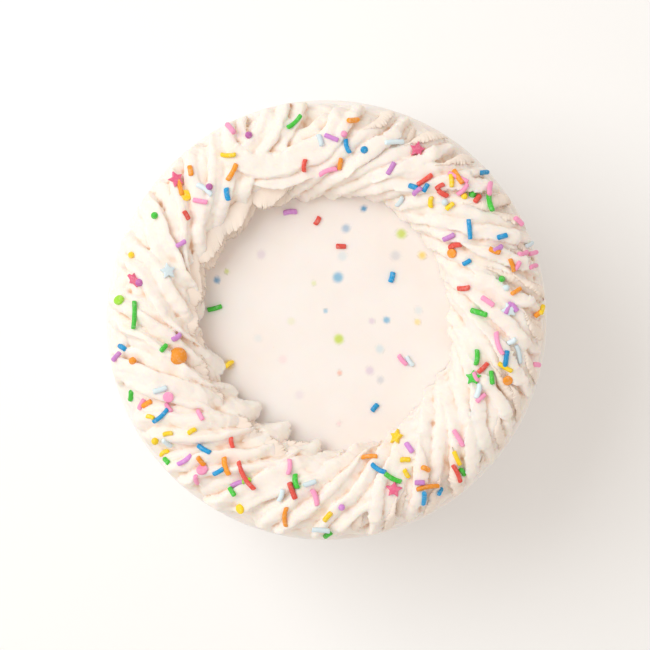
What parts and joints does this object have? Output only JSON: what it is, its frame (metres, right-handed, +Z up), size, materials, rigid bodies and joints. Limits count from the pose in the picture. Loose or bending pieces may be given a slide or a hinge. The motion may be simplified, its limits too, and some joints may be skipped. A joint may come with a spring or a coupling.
{
  "type": "confetti cake",
  "caption": "Round iced confetti cake, whole and uncut, with a rope of piped buttercream round its top edge and sugar sprinkles strewn over it.",
  "frame": {"origin": "centre of the cake's flat underside, where it stands", "axes": "+Z up through the middle of the cake, +Y towards the side that a viewer looking straight down sees at the top, +X to that viewer's right"},
  "size_m": [0.15, 0.15, 0.1035],
  "materials": {
    "iced_cake": "smooth soft buttercream, slightly glossy, with sugar sprinkles in it",
    "piped_rope": "stiff piped buttercream with ridges and torn edges, strewn with sugar sprinkles"
  },
  "bodies": {
    "root": {"iced_cake": "iced_cake", "piped_rope": "piped_rope"}
  },
  "joints": []
}
